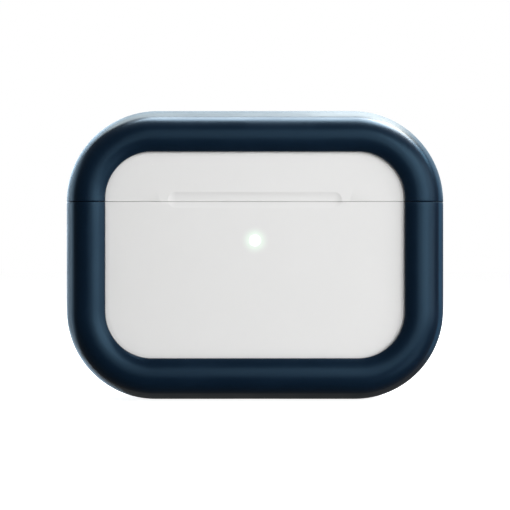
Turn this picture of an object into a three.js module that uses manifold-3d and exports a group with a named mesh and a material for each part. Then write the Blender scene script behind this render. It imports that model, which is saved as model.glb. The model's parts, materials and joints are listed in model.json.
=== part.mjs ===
// Charging case for a pair of wireless earbuds, standing in its two-part bumper.
// Millimetres: +X to the right, +Y towards the hinge, +Z up. The origin is on the resting plane,
// under the middle of the case.
import * as THREE from "three";
import { mergeVertices } from "three/addons/utils/BufferGeometryUtils.js";
import Module from "manifold-3d";

const wasm = await Module();
wasm.setup();

// ---------------------------------------------------------------- driving dimensions
const CASE = { halfX: 30.3, halfY: 10.85, halfZ: 22.6, corner: 13.4, edge: 5.5 };
const WALL = 1.45; // moulded shell of the case
const BUMPER_WALL = 2.5; // how far the bumper stands outside the case
const CENTRE_Z = CASE.halfZ + BUMPER_WALL;
const SEAM_Z = 34.2; // where the lid parts from the base
const SEAM_GAP = 0.2; // between the lid shell and the base shell
const BUMPER_GAP = 0.3; // between the two halves of the bumper
const FIT = 0.1; // slip between the bumper and the case
const ROOM = 0.15; // slip between a moulding and the shell around it
const BEYOND = 60; // past every side of the case, for cutting tools

const CORNER_STEPS = 8;
const EDGE_STEPS = 6;

// Cross-section of the bumper: a flat foot, a drawn-in side, a round nose and a lip on the face.
const BUMPER = { foot: 4, crestY: 12.8, crestInset: 4.7, crestLand: 0.1, nose: 3.35, windowInset: 7.3 };
// The corners of its outline, fuller below than above, and how fast they tighten as it is drawn in.
const BUMPER_CORNERS = { upper: 15.9, lower: 15.45, upperPinch: 1.086, lowerPinch: 1.025 };
const NOSE_OUTER_ANGLE = THREE.MathUtils.degToRad(74);

const HINGE = { y: CASE.halfY, z: SEAM_Z, radius: 1.5, halfLength: 14.5, lidKnuckle: 7, endPlay: 0.15 };
const LID_OPENS_TO = 100; // degrees
const HINGE_POCKET = HINGE.radius + 0.25;
const HINGE_PIN_RADIUS = 0.55;
const HINGE_BORE_RADIUS = 0.66;
const LEAF = { front: 9.9, baseFoot: 30.2, lidTop: 38.5, clear: 0.3 };
const HINGE_SCREW = { x: 11, baseZ: 31.2, lidZ: 37.2, shank: 0.5, tap: 0.6, hole: 0.65, head: 1 };
const SPRING = { radius: 0.78, wire: 0.14, from: 0.4, to: 5.6, turns: 7 };

const WELL = { x: 9.2, y: -1.8, radius: 3.4, wall: 0.8, foot: 12, floor: 14 };
const BOWL = { x: 15.2, y: -0.6, z: 35.5, radii: [9.2, 6.6, 8.5], wall: 1 };
const DOME = { x: 15.2, y: -0.6, z: 34.4, radii: [9.4, 6.9, 9.8], wall: 1 };
const TRAY = { bottom: 32.6, top: 33.9 };
const LINER = { bottom: 34.4, top: 35.6 };

const BUTTON = { z: 19.3, radius: 2.9, gap: 0.15, flange: 3.5, stem: 1.2 };
const LED = { z: 27.6, radius: 0.95 };
const PORT = { width: 9, height: 3.2, wall: 0.3, foot: 2.6, top: 9.6 };
const PORT_CUTOUT = { width: 12.8, height: 6.6 };
const PIN = { spacing: 1.3, radius: 0.45, bottom: 12.6, top: 15, hole: 0.56 };
const BOARD_PLATE = { front: 3.4, back: 4.2, screwX: 11, screwZ: 8.2 };
const MAGNET = { x: 24.5, catchY: -6.5, earbudY: 5.4, radius: 1.2 };

// ---------------------------------------------------------------- materials
const finish = (color, roughness, metalness) =>
  new THREE.MeshStandardMaterial({ color, roughness, metalness });
const WHITE = finish(0xe9e9e9, 0.2, 0);
const NAVY = finish(0x152a40, 0.42, 0);
const STEEL = finish(0xb9bcc0, 0.25, 1);
const SPRING_STEEL = finish(0x8f9296, 0.35, 1);
const GOLD = finish(0xd9b25f, 0.25, 1);
const COPPER = finish(0xb87345, 0.35, 1);
const FERRITE = finish(0x26272a, 0.6, 0.2);
const BOARD = finish(0x123a2c, 0.5, 0);
const CHIP = finish(0x1b1c1e, 0.5, 0);
const FOIL = finish(0xc4c7ca, 0.4, 0.8);
const BLACK = finish(0x141516, 0.55, 0);
const MAGNET_PLATE = finish(0xa9abad, 0.3, 1);
const FLEX = finish(0x9a5b1e, 0.5, 0);
const LENS = finish(0xe6ffe9, 0.15, 0);
const TAPE = finish(0xc8402f, 0.7, 0);

// ---------------------------------------------------------------- solids
// A closed three.js geometry as a solid that can be joined and cut.
function solidOf(geometry) {
  const bare = geometry.index ? geometry.toNonIndexed() : geometry.clone();
  bare.deleteAttribute("normal");
  bare.deleteAttribute("uv");
  const merged = mergeVertices(bare, 1e-4);
  return new wasm.Manifold(
    new wasm.Mesh({
      numProp: 3,
      vertProperties: merged.attributes.position.array,
      triVerts: new Uint32Array(merged.index.array),
    }),
  );
}

function geometryOf(solid) {
  const mesh = solid.getMesh();
  const geometry = new THREE.BufferGeometry()
    .setAttribute("position", new THREE.BufferAttribute(mesh.vertProperties, 3))
    .setIndex(new THREE.BufferAttribute(mesh.triVerts, 1))
    .toNonIndexed();
  geometry.computeVertexNormals();
  return geometry;
}

const joined = (...solids) => solids.reduce((whole, solid) => whole.add(solid));
const cut = (solid, ...tools) => tools.reduce((rest, tool) => rest.subtract(tool), solid);

function block(low, high) {
  const size = high.map((value, i) => value - low[i]);
  const middle = high.map((value, i) => (value + low[i]) / 2);
  return solidOf(new THREE.BoxGeometry(...size).translate(...middle));
}

// A cylinder along "x", "y" or "z", from one coordinate on that axis to another.
function rod(axis, from, to, radius, across, steps = 24) {
  const geometry = new THREE.CylinderGeometry(radius, radius, Math.abs(to - from), steps);
  const middle = (from + to) / 2;
  if (axis === "x") return solidOf(geometry.rotateZ(Math.PI / 2).translate(middle, across[0], across[1]));
  if (axis === "y") return solidOf(geometry.translate(across[0], middle, across[1]));
  return solidOf(geometry.rotateX(Math.PI / 2).translate(across[0], across[1], middle));
}

function ellipsoid(place, radii, wall = 0) {
  const geometry = new THREE.SphereGeometry(1, 24, 14).rotateX(Math.PI / 2);
  geometry.scale(...radii.map((radius) => radius + wall)).translate(...place);
  return solidOf(geometry);
}

// A rounded rectangle as a list of points. Its lower corners may have a radius of their own.
function roundedOutline(halfX, halfZ, upperRadius, steps, lowerRadius = upperRadius) {
  const points = [];
  for (let quarter = 0; quarter < 4; quarter++) {
    const radius = quarter < 2 ? upperRadius : lowerRadius;
    const centreX = (halfX - radius) * (quarter === 0 || quarter === 3 ? 1 : -1);
    const centreZ = (halfZ - radius) * (quarter < 2 ? 1 : -1);
    for (let i = 0; i <= steps; i++) {
      const angle = ((quarter + i / steps) * Math.PI) / 2;
      points.push([centreX + radius * Math.cos(angle), centreZ + radius * Math.sin(angle)]);
    }
  }
  return points;
}

// A body with a rounded rectangular front view. Its stations run from front to back, each with
// its place along Y and how far the outline is drawn in there.
function pillow({ halfX, halfZ, upper, lower, upperPinch, lowerPinch }, stations) {
  const positions = [];
  const index = [];
  let count = 0;
  for (const { y, inset } of stations) {
    const upperRadius = upper - upperPinch * inset;
    const lowerRadius = lower - lowerPinch * inset;
    const ring = roundedOutline(halfX - inset, halfZ - inset, upperRadius, CORNER_STEPS, lowerRadius);
    ring.forEach(([x, z]) => positions.push(x, y, CENTRE_Z + z));
    count = ring.length;
  }
  const last = (stations.length - 1) * count;
  for (let i = 0; i < count; i++) {
    const next = (i + 1) % count;
    for (let start = 0; start < last; start += count) {
      index.push(start + i, start + count + i, start + next);
      index.push(start + next, start + count + i, start + count + next);
    }
    if (i > 0 && next > 0) {
      index.push(0, i, next);
      index.push(last, last + next, last + i);
    }
  }
  const geometry = new THREE.BufferGeometry();
  geometry.setAttribute("position", new THREE.Float32BufferAttribute(positions, 3));
  geometry.setIndex(index);
  return solidOf(geometry);
}

const mirrored = (half) => [...half, ...half.map(({ y, inset }) => ({ y: -y, inset })).reverse()];

// The case's own form, grown outwards by an offset that may be negative.
function caseForm(offset) {
  const edge = CASE.edge + offset;
  const half = [];
  for (let i = 0; i <= EDGE_STEPS; i++) {
    const angle = (i / EDGE_STEPS) * (Math.PI / 2);
    half.push({
      y: -(CASE.halfY - CASE.edge) - edge * Math.cos(angle),
      inset: edge * (1 - Math.sin(angle)),
    });
  }
  const corner = CASE.corner + offset;
  const corners = { upper: corner, lower: corner, upperPinch: 1, lowerPinch: 1 };
  return pillow({ halfX: CASE.halfX + offset, halfZ: CASE.halfZ + offset, ...corners }, mirrored(half));
}

// A prism along Z with a rounded rectangular plan.
function plate(halfX, halfY, corner, bottom, top) {
  const shape = new THREE.Shape(
    roundedOutline(halfX, halfY, corner, 5).map(([x, y]) => new THREE.Vector2(x, y)),
  );
  const geometry = new THREE.ExtrudeGeometry(shape, { depth: top - bottom, bevelEnabled: false });
  return solidOf(geometry.translate(0, 0, bottom));
}

const slot = (width, height, bottom, top) => plate(width / 2, height / 2, height / 2 - 1e-3, bottom, top);
const above = (z) => block([-BEYOND, -BEYOND, z], [BEYOND, BEYOND, 2 * BEYOND]);
const below = (z) => block([-BEYOND, -BEYOND, -BEYOND], [BEYOND, BEYOND, z]);

// ---------------------------------------------------------------- the tree of parts
const earbudCase = new THREE.Group();
const base = new THREE.Group();
const lid = new THREE.Group();
earbudCase.add(base, lid);

function addPart(group, name, solid, material) {
  const mesh = new THREE.Mesh(geometryOf(solid), material);
  mesh.name = name;
  group.add(mesh);
  return mesh;
}

const SIDES = [
  ["left", -1],
  ["right", 1],
];

// ---------------------------------------------------------------- bumper
// The whole ring before it is parted: the outer form less the case and the two windows.
function bumperRing() {
  const noseStation = (crest, angle) => ({
    y: BUMPER.nose - BUMPER.crestY - BUMPER.nose * Math.cos(angle),
    inset: crest + BUMPER.nose * Math.sin(angle),
  });
  const outer = [];
  const noseSteps = 6;
  for (let i = 0; i <= noseSteps; i++) {
    const angle = (-i / noseSteps) * NOSE_OUTER_ANGLE;
    outer.push(noseStation(BUMPER.crestInset - BUMPER.crestLand, angle));
  }
  // The side runs from the end of the nose to the flat foot as one smooth curve.
  const end = outer[noseSteps];
  const reach = end.inset / Math.cos(NOSE_OUTER_ANGLE);
  const bend = new THREE.Vector2(0, end.y + reach * Math.sin(NOSE_OUTER_ANGLE));
  const side = new THREE.QuadraticBezierCurve(
    new THREE.Vector2(end.inset, end.y),
    bend,
    new THREE.Vector2(0, -BUMPER.foot),
  );
  const sideSteps = 3;
  side
    .getPoints(sideSteps)
    .slice(1)
    .forEach((point) => outer.push({ y: point.y, inset: Math.max(point.x, 0) }));

  const innerCrest = BUMPER.crestInset + BUMPER.crestLand;
  const funnelAngle = Math.asin((BUMPER.windowInset - innerCrest) / BUMPER.nose);
  const funnel = [{ y: -BUMPER.crestY - 1, inset: innerCrest }];
  const funnelSteps = 4;
  for (let i = 0; i <= funnelSteps; i++) {
    funnel.push(noseStation(innerCrest, (i / funnelSteps) * funnelAngle));
  }
  funnel.push({ y: -(CASE.halfY - CASE.edge), inset: BUMPER.windowInset });

  const size = {
    halfX: CASE.halfX + BUMPER_WALL,
    halfZ: CASE.halfZ + BUMPER_WALL,
    ...BUMPER_CORNERS,
  };
  const window = pillow(size, funnel);
  const solid = pillow(size, mirrored(outer));
  return cut(solid, window, window.mirror([0, 1, 0]), caseForm(FIT));
}

// A wedge with its edge on the hinge line, so that the lid's half can swing down behind the base's.
function swingNotch() {
  const depth = 4;
  const rise = depth * Math.tan(THREE.MathUtils.degToRad(LID_OPENS_TO / 2 + 1));
  const shape = new THREE.Shape();
  shape.moveTo(-0.05, 0);
  shape.lineTo(depth, -rise);
  shape.lineTo(depth, rise);
  shape.closePath();
  const geometry = new THREE.ExtrudeGeometry(shape, { depth: 2 * BEYOND, bevelEnabled: false });
  geometry.translate(0, 0, -BEYOND).rotateY(Math.PI / 2).rotateX(Math.PI / 2);
  return solidOf(geometry.translate(0, HINGE.y, HINGE.z));
}

const TAPE_SIZE = { halfX: 14, halfY: 2.2, bottom: CENTRE_Z + CASE.halfZ + FIT, thickness: 0.3 };

function addBumper() {
  const ring = cut(bumperRing(), swingNotch());
  const baseHalf = cut(
    ring,
    above(SEAM_Z - BUMPER_GAP / 2),
    slot(PORT_CUTOUT.width, PORT_CUTOUT.height, -1, BUMPER_WALL + 2),
  );
  addPart(base, "bumper_base", baseHalf, NAVY);

  const { halfX, halfY, bottom, thickness } = TAPE_SIZE;
  const tapePocket = block(
    [-halfX - 0.3, -halfY - 0.3, bottom - 1],
    [halfX + 0.3, halfY + 0.3, bottom + thickness + FIT],
  );
  addPart(lid, "bumper_lid", cut(ring, below(SEAM_Z + BUMPER_GAP / 2), tapePocket), NAVY);
  const tape = block([-halfX, -halfY, bottom], [halfX, halfY, bottom + thickness]);
  addPart(lid, "bumper_tape", tape, TAPE);
}

// ---------------------------------------------------------------- shells
const thickPad = (bottom, top) => block([-15.5, 8.2, bottom], [15.5, CASE.halfY - WALL + 0.2, top]);
const lineOfHinge = [HINGE.y, HINGE.z];
const barrel = (from, to, radius) => rod("x", from, to, radius, lineOfHinge);
const hingePocket = barrel(-HINGE.halfLength - 0.3, HINGE.halfLength + 0.3, HINGE_POCKET);
const leafRecess = block(
  [-HINGE.halfLength - 0.2, LEAF.front - 0.1, LEAF.baseFoot - 0.2],
  [HINGE.halfLength + 0.2, CASE.halfY + 2, LEAF.lidTop + 0.2],
);
const screwHoles = (z) =>
  SIDES.map(([, side]) => rod("y", 7.9, LEAF.front, HINGE_SCREW.hole, [side * HINGE_SCREW.x, z], 12));

// A shallow scoop for the thumb, across the seam on the front face.
function thumbScoop() {
  const outline = roundedOutline(14.9, 1.4, 1.39, 4).map(([x, z]) => new THREE.Vector2(x, z));
  const geometry = new THREE.ExtrudeGeometry(new THREE.Shape(outline), { depth: 2, bevelEnabled: false });
  return solidOf(geometry.rotateX(Math.PI / 2).translate(0, -CASE.halfY + 0.12, SEAM_Z + 0.3));
}

// Ribs and bosses of the base shell: two shelves under the batteries, two posts under the port's
// board, two pads behind the light's board and two bosses for the main board's screws.
function innerSupports() {
  const { back, screwX, screwZ } = BOARD_PLATE;
  const ribs = SIDES.flatMap(([, side]) => {
    const across = (inner, outer) => [side * inner, side * outer].sort((a, b) => a - b);
    const span = (inner, outer, front, rear, bottom, top) => {
      const [low, high] = across(inner, outer);
      return block([low, front, bottom], [high, rear, top]);
    };
    return [
      span(15, 25, -1.4, 0.6, 2, 10.3),
      span(5.7, 7.2, -2.4, 2.4, 2, 9.8),
      span(3.4, 4.8, -11, -8.3, 24.7, 26.2),
      rod("y", back + 0.1, CASE.halfY, 1.8, [side * screwX, screwZ], 16),
    ];
  });
  const holes = SIDES.map(([, side]) => rod("y", back - 1, 8, 0.7, [side * screwX, screwZ], 12));
  return cut(joined(...ribs).intersect(caseForm(-WALL / 2)), ...holes);
}

function addShells() {
  const hollow = cut(caseForm(0), caseForm(-WALL));
  const shared = [hingePocket, leafRecess, thumbScoop()];

  const baseShell = cut(
    joined(cut(hollow, above(SEAM_Z - SEAM_GAP / 2)), thickPad(28.6, 32.3), innerSupports()),
    ...shared,
    ...screwHoles(HINGE_SCREW.baseZ),
    slot(PORT.width + 0.3, PORT.height + 0.3, 0, CENTRE_Z - CASE.halfZ + WALL + 1),
    rod("y", 5, CASE.halfY + 2, BUTTON.radius + BUTTON.gap, [0, BUTTON.z], 28),
    rod("y", -CASE.halfY - 2, -8, LED.radius + 0.1, [0, LED.z], 16),
  );
  addPart(base, "base_shell", baseShell, WHITE);

  const lidShell = cut(
    joined(cut(hollow, below(SEAM_Z + SEAM_GAP / 2)), thickPad(35.9, 40)),
    ...shared,
    ...screwHoles(HINGE_SCREW.lidZ),
  );
  addPart(lid, "lid_shell", lidShell, WHITE);
}

// ---------------------------------------------------------------- mouldings that hold the earbuds
const innerHalfX = CASE.halfX - WALL - ROOM;
const innerHalfY = CASE.halfY - WALL - ROOM;
const innerCorner = CASE.edge - WALL - ROOM;
const mirroredPair = (make) => SIDES.map(([, side]) => make(side));

function addTray() {
  const { x, y, z, radii, wall } = BOWL;
  const bowls = mirroredPair((side) => ellipsoid([side * x, y, z], radii, wall));
  const hollows = mirroredPair((side) => ellipsoid([side * x, y, z], radii));
  const tubes = mirroredPair((side) =>
    rod("z", WELL.foot, TRAY.bottom + 0.5, WELL.radius + WELL.wall, [side * WELL.x, WELL.y]),
  );
  const wells = mirroredPair((side) => rod("z", 0, 2 * BEYOND, WELL.radius, [side * WELL.x, WELL.y]));
  const body = joined(
    plate(innerHalfX, innerHalfY, innerCorner, TRAY.bottom, TRAY.top),
    ...bowls.map((bowl) => cut(bowl, above(TRAY.top))),
    ...tubes,
  );
  addPart(base, "earbud_tray", cut(body, ...hollows, ...wells, hingePocket), WHITE);
}

function addLiner() {
  const { x, y, z, radii, wall } = DOME;
  const domes = mirroredPair((side) => cut(ellipsoid([side * x, y, z], radii, wall), below(LINER.bottom)));
  const hollows = mirroredPair((side) => ellipsoid([side * x, y, z], radii));
  const flange = plate(innerHalfX - 0.1, innerHalfY, innerCorner, LINER.bottom, LINER.top);
  addPart(lid, "lid_liner", cut(joined(flange, ...domes), ...hollows, hingePocket), WHITE);
}

// ---------------------------------------------------------------- hinge
// A leaf: its plate less the room its neighbour's knuckles need, with its own knuckles on it.
function hingeLeaf([bottom, top], neighbours, knuckles, screwZ) {
  const { halfLength } = HINGE;
  const leaf = block([-halfLength, LEAF.front, bottom], [halfLength, CASE.halfY, top]);
  const taps = SIDES.map(([, side]) =>
    rod("y", LEAF.front - 1, LEAF.front + 0.6, HINGE_SCREW.tap, [side * HINGE_SCREW.x, screwZ], 12),
  );
  const bore = barrel(-halfLength - 1, halfLength + 1, HINGE_BORE_RADIUS);
  return cut(joined(cut(leaf, ...neighbours), ...knuckles), bore, ...taps);
}

function addHinge() {
  const { halfLength, lidKnuckle, radius } = HINGE;
  const split = lidKnuckle + HINGE.endPlay;
  const baseLeaf = hingeLeaf(
    [LEAF.baseFoot, SEAM_Z - LEAF.clear],
    [barrel(-split, split, HINGE_POCKET)],
    SIDES.map(([, side]) => barrel(side * split, side * halfLength, radius)),
    HINGE_SCREW.baseZ,
  );
  addPart(base, "hinge_leaf_base", baseLeaf, STEEL);

  const lidLeaf = hingeLeaf(
    [SEAM_Z + LEAF.clear, LEAF.lidTop],
    SIDES.map(([, side]) => barrel(side * lidKnuckle, side * (halfLength + 1), HINGE_POCKET)),
    [barrel(-lidKnuckle, lidKnuckle, radius)],
    HINGE_SCREW.lidZ,
  );
  const springRoom = barrel(1 - lidKnuckle, lidKnuckle - 1, SPRING.radius + SPRING.wire + 0.1);
  addPart(lid, "hinge_leaf_lid", cut(lidLeaf, springRoom), STEEL);

  const pinEnd = halfLength - 0.1;
  addPart(base, "hinge_pin", rod("x", -pinEnd, pinEnd, HINGE_PIN_RADIUS, lineOfHinge, 16), STEEL);
  for (const [name, side] of SIDES) {
    addPart(base, `hinge_spring_${name}`, torsionSpring(side), SPRING_STEEL);
    addPart(base, `hinge_screw_base_${name}`, hingeScrew(side, HINGE_SCREW.baseZ), STEEL);
    addPart(lid, `hinge_screw_lid_${name}`, hingeScrew(side, HINGE_SCREW.lidZ), STEEL);
  }
}

function hingeScrew(side, z) {
  const place = [side * HINGE_SCREW.x, z];
  const head = rod("y", 7.4, 8.1, HINGE_SCREW.head, place, 16);
  const shank = rod("y", 8, LEAF.front + 0.5, HINGE_SCREW.shank, place, 12);
  const socket = rod("y", 7, 7.7, 0.4, place, 6);
  return cut(joined(head, shank), socket);
}

// Wound round the hinge pin, inside the lid's knuckle.
function torsionSpring(side) {
  const stepsPerTurn = 10;
  const points = [];
  for (let i = 0; i <= SPRING.turns * stepsPerTurn; i++) {
    const angle = (i / stepsPerTurn) * 2 * Math.PI;
    const along = SPRING.from + ((SPRING.to - SPRING.from) * i) / (SPRING.turns * stepsPerTurn);
    points.push(
      new THREE.Vector3(
        side * along,
        HINGE.y + SPRING.radius * Math.cos(angle),
        HINGE.z + SPRING.radius * Math.sin(angle),
      ),
    );
  }
  const path = new THREE.CatmullRomCurve3(points);
  const section = new THREE.Shape();
  section.absarc(0, 0, SPRING.wire, 0, 2 * Math.PI);
  return solidOf(
    new THREE.ExtrudeGeometry(section, {
      steps: SPRING.turns * stepsPerTurn,
      extrudePath: path,
      curveSegments: 3,
      bevelEnabled: false,
    }),
  );
}

// ---------------------------------------------------------------- controls, port and light
function addSetupButton() {
  const place = [0, BUTTON.z];
  const face = CASE.halfY;
  const button = joined(
    rod("y", face - WALL - 0.2, face, BUTTON.radius, place, 28),
    rod("y", face - WALL - 0.5, face - WALL - 0.1, BUTTON.flange, place, 28),
    rod("y", 6.8, face - WALL, BUTTON.stem, place, 16),
  );
  addPart(earbudCase, "setup_button", button, WHITE);
  const tactSwitch = joined(
    block([-2, 4.4, BUTTON.z - 2], [2, 5.6, BUTTON.z + 2]),
    rod("y", 5.5, 6.3, 0.9, place, 16),
  );
  addPart(base, "button_switch", tactSwitch, STEEL);
}

function addPort() {
  const { width, height, wall, foot, top } = PORT;
  const shell = cut(
    slot(width, height, foot, top),
    slot(width - 2 * wall, height - 2 * wall, foot - 1, top - wall),
  );
  addPart(base, "usb_port_shell", shell, STEEL);
  addPart(base, "usb_port_tongue", block([-3.35, -0.35, foot + 0.9], [3.35, 0.35, top - wall - 0.1]), BLACK);
  addPart(base, "port_board", block([-7.5, -3.2, 10], [7.5, 3.1, 10.8]), BOARD);
}

function addStatusLight() {
  const place = [0, LED.z];
  const pipe = joined(
    rod("y", -CASE.halfY, -9.2, LED.radius, place, 16),
    rod("y", -9.25, -8.9, LED.radius + 0.6, place, 16),
  );
  addPart(base, "led_light_pipe", pipe, LENS);
  addPart(base, "status_led", block([-0.8, -8.75, LED.z - 0.5], [0.8, -8.3, LED.z + 0.5]), LENS);
  addPart(base, "led_board", block([-5, -8.2, 24.5], [5, -7.6, 31.2]), BOARD);
  addPart(base, "lid_sensor", block([2.2, -8.75, 29.4], [3.8, -8.3, 30.8]), CHIP);
}

// ---------------------------------------------------------------- power
function addBatteries() {
  for (const [name, side] of SIDES) {
    const outline = roundedOutline(5.1, 6.6, 1.2, 3).map(([x, z]) => new THREE.Vector2(x, z));
    const geometry = new THREE.ExtrudeGeometry(new THREE.Shape(outline), {
      depth: 9.6,
      bevelThickness: 0.8,
      bevelSize: 0.8,
      bevelSegments: 2,
      curveSegments: 3,
    });
    geometry.rotateX(Math.PI / 2).translate(side * 20, 4.8 - 0.4, 17.9);
    addPart(base, `battery_${name}`, solidOf(geometry), FOIL);
  }
}

function flatRing(front, back, inner, outer) {
  const profile = [
    new THREE.Vector2(inner, front),
    new THREE.Vector2(outer, front),
    new THREE.Vector2(outer, back),
    new THREE.Vector2(inner, back),
    new THREE.Vector2(inner, front),
  ];
  return solidOf(new THREE.LatheGeometry(profile, 36).translate(0, 0, BUTTON.z));
}

function addChargingCoil() {
  addPart(base, "coil_ferrite", flatRing(7.8, 8.4, 3.9, 9.2), FERRITE);
  addPart(base, "charging_coil", flatRing(8.5, 9.1, 4.4, 8.9), COPPER);
}

function addMainBoard() {
  const { front, back, screwX, screwZ } = BOARD_PLATE;
  const holes = SIDES.map(([, side]) => rod("y", front - 1, back + 1, 0.75, [side * screwX, screwZ], 12));
  addPart(base, "main_board", cut(block([-12.9, front, 6.4], [12.9, back, 25.2]), ...holes), BOARD);
  addPart(base, "charge_controller", block([-10.5, 4.3, 15.5], [-5.5, 5.4, 20.5]), CHIP);
  addPart(base, "shield_can", block([5, 4.3, 13.5], [11.4, 5.6, 21]), STEEL);
  addPart(base, "power_inductor", block([-3, 4.3, 8.5], [1, 6.1, 12.5]), FERRITE);
  for (const [name, side] of SIDES) {
    const place = [side * screwX, screwZ];
    const screw = joined(
      rod("y", front - 0.9, front - 0.1, 1.2, place, 16),
      rod("y", front - 0.2, 7.4, 0.55, place, 12),
    );
    addPart(base, `board_screw_${name}`, screw, STEEL);
  }
}

// ---------------------------------------------------------------- contacts and magnets
function addContacts() {
  const flex = block([-12.9, -3.8, 11.3], [12.9, 0.2, 11.6]);
  addPart(base, "contact_flex", flex, FLEX);
  for (const [name, side] of SIDES) {
    const x = side * WELL.x;
    const pinPlaces = [-1, 1].map((step) => [x + step * PIN.spacing, WELL.y]);
    const carrier = cut(
      rod("z", WELL.foot + 0.2, WELL.floor, WELL.radius - FIT, [x, WELL.y]),
      ...pinPlaces.map((place) => rod("z", 0, BEYOND, PIN.hole, place, 12)),
    );
    addPart(base, `contact_carrier_${name}`, carrier, BLACK);
    ["inner", "outer"].forEach((position, i) => {
      const place = pinPlaces[side < 0 ? 1 - i : i];
      const pin = rod("z", PIN.bottom, PIN.top, PIN.radius, place, 10);
      addPart(earbudCase, `contact_pin_${name}_${position}`, pin, GOLD);
    });
  }
}

function addMagnets() {
  for (const [name, side] of SIDES) {
    const magnet = (y, bottom, top) => rod("z", bottom, top, MAGNET.radius, [side * MAGNET.x, y], 16);
    addPart(base, `base_magnet_${name}`, magnet(MAGNET.catchY, 30.3, 32.4), MAGNET_PLATE);
    addPart(base, `earbud_magnet_${name}`, magnet(MAGNET.earbudY, 30.3, 32.4), MAGNET_PLATE);
    addPart(lid, `lid_magnet_${name}`, magnet(MAGNET.catchY, 35.8, 37.6), MAGNET_PLATE);
  }
  addPart(lid, "sensor_magnet", block([2, -8.8, 35.8], [4, -7.6, 37.6]), MAGNET_PLATE);
}

addBumper();
addShells();
addTray();
addLiner();
addHinge();
addSetupButton();
addPort();
addStatusLight();
addBatteries();
addChargingCoil();
addMainBoard();
addContacts();
addMagnets();

export default earbudCase;
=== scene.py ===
import json
import math

import bmesh
import bpy
import numpy as np
from mathutils import Matrix, Vector


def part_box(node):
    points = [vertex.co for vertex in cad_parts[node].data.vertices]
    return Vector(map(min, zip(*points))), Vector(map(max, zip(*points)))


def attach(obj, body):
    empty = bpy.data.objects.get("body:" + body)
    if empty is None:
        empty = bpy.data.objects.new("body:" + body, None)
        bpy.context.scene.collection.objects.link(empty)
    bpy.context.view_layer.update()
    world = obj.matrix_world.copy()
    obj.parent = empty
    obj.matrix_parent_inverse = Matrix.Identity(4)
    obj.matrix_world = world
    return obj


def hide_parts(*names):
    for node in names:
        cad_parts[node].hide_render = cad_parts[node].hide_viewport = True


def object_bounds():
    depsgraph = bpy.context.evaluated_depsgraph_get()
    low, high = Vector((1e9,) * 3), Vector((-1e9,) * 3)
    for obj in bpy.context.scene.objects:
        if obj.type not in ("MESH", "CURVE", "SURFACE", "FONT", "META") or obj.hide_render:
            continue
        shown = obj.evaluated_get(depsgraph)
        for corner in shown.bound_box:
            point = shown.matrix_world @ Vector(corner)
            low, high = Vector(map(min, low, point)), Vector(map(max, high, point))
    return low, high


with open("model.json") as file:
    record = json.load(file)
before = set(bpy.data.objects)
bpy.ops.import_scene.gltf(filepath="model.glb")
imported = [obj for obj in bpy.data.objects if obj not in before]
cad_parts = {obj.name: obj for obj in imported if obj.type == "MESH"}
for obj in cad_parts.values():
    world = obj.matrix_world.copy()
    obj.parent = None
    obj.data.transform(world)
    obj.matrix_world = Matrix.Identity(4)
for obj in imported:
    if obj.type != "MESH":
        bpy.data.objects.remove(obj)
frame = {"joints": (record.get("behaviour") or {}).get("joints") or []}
cad_box = [list(corner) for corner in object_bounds()]

# ------------------------------------------------------------------ studio
# White surroundings and a white paper floor. A bank of soft boxes stands in front, strong ones
# hang above and behind, and cards catch the bumper's outer edge. The camera faces the front.
low, high = (Vector(corner) for corner in cad_box)
middle = (low + high) / 2
scene = bpy.context.scene
scene.view_settings.view_transform = "Standard"
scene.view_settings.look = "None"
scene.view_settings.exposure = 0
scene.view_settings.gamma = 1


def node(tree, kind, inputs=None, **settings):
    """A new node, with its settings and its inputs, each a value or the socket that feeds it."""
    made = tree.nodes.new(kind)
    for name, value in settings.items():
        setattr(made, name, value)
    for name, value in (inputs or {}).items():
        if isinstance(value, bpy.types.NodeSocket):
            tree.links.new(value, made.inputs[name])
        else:
            made.inputs[name].default_value = value
    return made


def add_camera():
    distance = 0.40
    camera = bpy.data.cameras.new("camera")
    camera.lens = 161.15
    camera.clip_start = 0.01
    holder = bpy.data.objects.new("camera", camera)
    holder.location = (middle.x, middle.y - distance, middle.z)
    holder.rotation_euler = (math.radians(90), 0, 0)
    scene.collection.objects.link(holder)
    scene.camera = holder


def soft_box(name, azimuth, elevation, distance, size, power, color=(1, 1, 1), lights_up=True):
    """A rectangular light aimed at the case. Azimuth 0 is the front, 90 the right. One that doesn't
    light up the case is only reflected in it."""
    light = bpy.data.lights.new(name, "AREA")
    light.shape = "RECTANGLE"
    light.size, light.size_y = size
    light.energy = power
    light.color = color
    holder = bpy.data.objects.new(name, light)
    turn, tilt = math.radians(azimuth), math.radians(elevation)
    towards = Vector((math.sin(turn) * math.cos(tilt), -math.cos(turn) * math.cos(tilt), math.sin(tilt)))
    holder.location = middle + towards * distance
    holder.rotation_euler = towards.to_track_quat("Z", "Y").to_euler()
    holder.visible_camera = False
    holder.visible_diffuse = lights_up
    scene.collection.objects.link(holder)


def white_surroundings(fill):
    """Pure white to the eye, and a dim even fill for everything else."""
    world = bpy.data.worlds.new("surroundings")
    world.use_nodes = True
    scene.world = world
    tree = world.node_tree
    background = tree.nodes["Background"]
    background.inputs["Color"].default_value = (1, 1, 1, 1)
    seen = node(tree, "ShaderNodeLightPath").outputs["Is Camera Ray"]
    shade = node(tree, "ShaderNodeMix", {"Factor": seen, "A": fill, "B": 1.0}, data_type="FLOAT")
    tree.links.new(shade.outputs["Result"], background.inputs["Strength"])


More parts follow.
